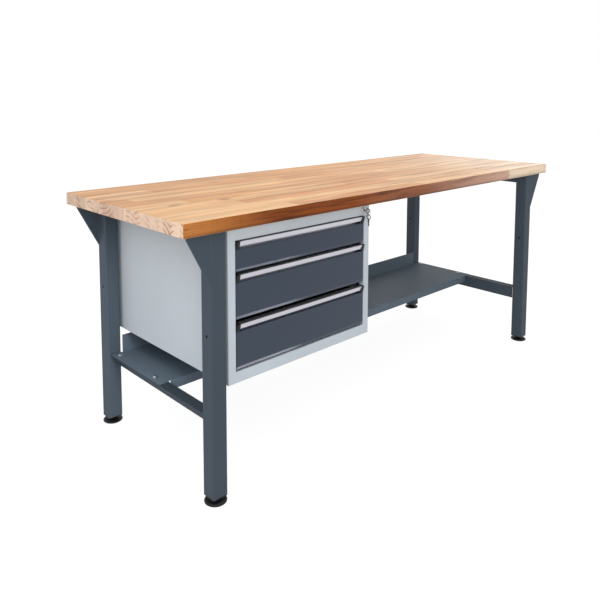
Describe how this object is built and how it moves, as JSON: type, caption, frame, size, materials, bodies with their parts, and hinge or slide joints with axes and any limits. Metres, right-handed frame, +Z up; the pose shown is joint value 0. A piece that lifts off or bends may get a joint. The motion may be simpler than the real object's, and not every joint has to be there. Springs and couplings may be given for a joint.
{
  "type": "workbench with drawer unit",
  "caption": "Long wood-topped workbench on square tube legs with levelling feet, a half-depth lower shelf and a hanging lockable drawer case.",
  "frame": {"origin": "on the floor, below the middle of the worktop", "axes": "+X along the bench to the right, -Y towards the person working at it, +Z up"},
  "size_m": [2, 0.7, 0.82],
  "materials": {
    "wood_top": "oiled, satin",
    "anthracite_paint": "powder coat, satin",
    "drawer_paint": "powder coat, satin",
    "light_grey_paint": "powder coat, satin",
    "anodised_aluminium": "brushed",
    "zinc_steel": "zinc plated",
    "bright_chrome": "polished",
    "key_steel": "nickel plated",
    "black_plastic": "moulded, matt"
  },
  "bodies": {
    "bench": {"worktop": "wood_top", "leg_end_inserts": "black_plastic", "shelf_bolts": "zinc_steel", "shelf_washers": "zinc_steel", "shelf_nuts": "zinc_steel", "worktop_screws": "zinc_steel", "case_screws": "zinc_steel", "lock_housing": "bright_chrome", "lower_shelf": "anthracite_paint", "left_front_leg": "anthracite_paint", "left_rear_leg": "anthracite_paint", "right_front_leg": "anthracite_paint", "right_rear_leg": "anthracite_paint", "left_gussets": "anthracite_paint", "left_top_rail": "anthracite_paint", "left_crossbar": "anthracite_paint", "right_gussets": "anthracite_paint", "right_top_rail": "anthracite_paint", "right_crossbar": "anthracite_paint", "case_left_panel": "light_grey_paint", "case_right_panel": "light_grey_paint", "case_top_panel": "light_grey_paint", "case_bottom_panel": "light_grey_paint", "case_back_panel": "light_grey_paint", "case_front_frame": "light_grey_paint", "top_drawer_outer_rails": "zinc_steel", "middle_drawer_outer_rails": "zinc_steel", "bottom_drawer_outer_rails": "zinc_steel"},
    "left_front_foot": {"left_front_foot": "black_plastic"},
    "left_rear_foot": {"left_rear_foot": "black_plastic"},
    "right_front_foot": {"right_front_foot": "black_plastic"},
    "right_rear_foot": {"right_rear_foot": "black_plastic"},
    "top_drawer": {"top_drawer_box": "anthracite_paint", "top_drawer_front": "drawer_paint", "top_drawer_grip": "anodised_aluminium", "top_drawer_label_strip": "anodised_aluminium", "top_drawer_grip_caps": "black_plastic", "top_drawer_inner_rails": "zinc_steel"},
    "top_drawer_middle_rails": {"top_drawer_middle_rails": "zinc_steel"},
    "middle_drawer": {"middle_drawer_box": "anthracite_paint", "middle_drawer_front": "drawer_paint", "middle_drawer_grip": "anodised_aluminium", "middle_drawer_label_strip": "anodised_aluminium", "middle_drawer_grip_caps": "black_plastic", "middle_drawer_inner_rails": "zinc_steel"},
    "middle_drawer_middle_rails": {"middle_drawer_middle_rails": "zinc_steel"},
    "bottom_drawer": {"bottom_drawer_box": "anthracite_paint", "bottom_drawer_front": "drawer_paint", "bottom_drawer_grip": "anodised_aluminium", "bottom_drawer_label_strip": "anodised_aluminium", "bottom_drawer_grip_caps": "black_plastic", "bottom_drawer_inner_rails": "zinc_steel"},
    "bottom_drawer_middle_rails": {"bottom_drawer_middle_rails": "zinc_steel"},
    "lock_plug": {"lock_plug": "bright_chrome", "lock_cam": "zinc_steel", "lock_key": "key_steel"},
    "locking_rod": {"locking_rod": "zinc_steel"},
    "spare_key": {"key_ring": "key_steel", "spare_key": "key_steel"}
  },
  "joints": [
    {"name": "top_drawer_slide", "type": "slide", "parent": "bench", "child": "top_drawer", "axis": [0, -1, 0], "range_m": [0, 0.5]},
    {"name": "top_drawer_middle_slide", "type": "slide", "parent": "bench", "child": "top_drawer_middle_rails", "axis": [0, -1, 0], "range_m": [0, 0.25]},
    {"name": "middle_drawer_slide", "type": "slide", "parent": "bench", "child": "middle_drawer", "axis": [0, -1, 0], "range_m": [0, 0.5]},
    {"name": "middle_drawer_middle_slide", "type": "slide", "parent": "bench", "child": "middle_drawer_middle_rails", "axis": [0, -1, 0], "range_m": [0, 0.25]},
    {"name": "bottom_drawer_slide", "type": "slide", "parent": "bench", "child": "bottom_drawer", "axis": [0, -1, 0], "range_m": [0, 0.5]},
    {"name": "bottom_drawer_middle_slide", "type": "slide", "parent": "bench", "child": "bottom_drawer_middle_rails", "axis": [0, -1, 0], "range_m": [0, 0.25]},
    {"name": "locking_rod_slide", "type": "slide", "parent": "bench", "child": "locking_rod", "axis": [0, 0, -1], "range_m": [0, 0.0099]},
    {"name": "lock_turn", "type": "hinge", "parent": "bench", "child": "lock_plug", "pos_m": [-0.266, -0.322, 0.759], "axis": [0, -1, 0], "range_deg": [0, 90]},
    {"name": "spare_key_swing", "type": "hinge", "parent": "bench", "child": "spare_key", "pos_m": [-0.266, -0.339, 0.759], "axis": [1, 0, 0], "range_deg": [-40, 12]},
    {"name": "left_front_foot_screw", "type": "slide", "parent": "bench", "child": "left_front_foot", "axis": [0, 0, -1], "range_m": [0, 0.02]},
    {"name": "left_rear_foot_screw", "type": "slide", "parent": "bench", "child": "left_rear_foot", "axis": [0, 0, -1], "range_m": [0, 0.02]},
    {"name": "right_front_foot_screw", "type": "slide", "parent": "bench", "child": "right_front_foot", "axis": [0, 0, -1], "range_m": [0, 0.02]},
    {"name": "right_rear_foot_screw", "type": "slide", "parent": "bench", "child": "right_rear_foot", "axis": [0, 0, -1], "range_m": [0, 0.02]}
  ],
  "couplings": [
    {"joint": "top_drawer_middle_slide", "follows": "top_drawer_slide", "ratio": 0.5},
    {"joint": "middle_drawer_middle_slide", "follows": "middle_drawer_slide", "ratio": 0.5},
    {"joint": "bottom_drawer_middle_slide", "follows": "bottom_drawer_slide", "ratio": 0.5},
    {"joint": "lock_turn", "follows": "locking_rod_slide", "rad_per_m": 158.66}
  ]
}
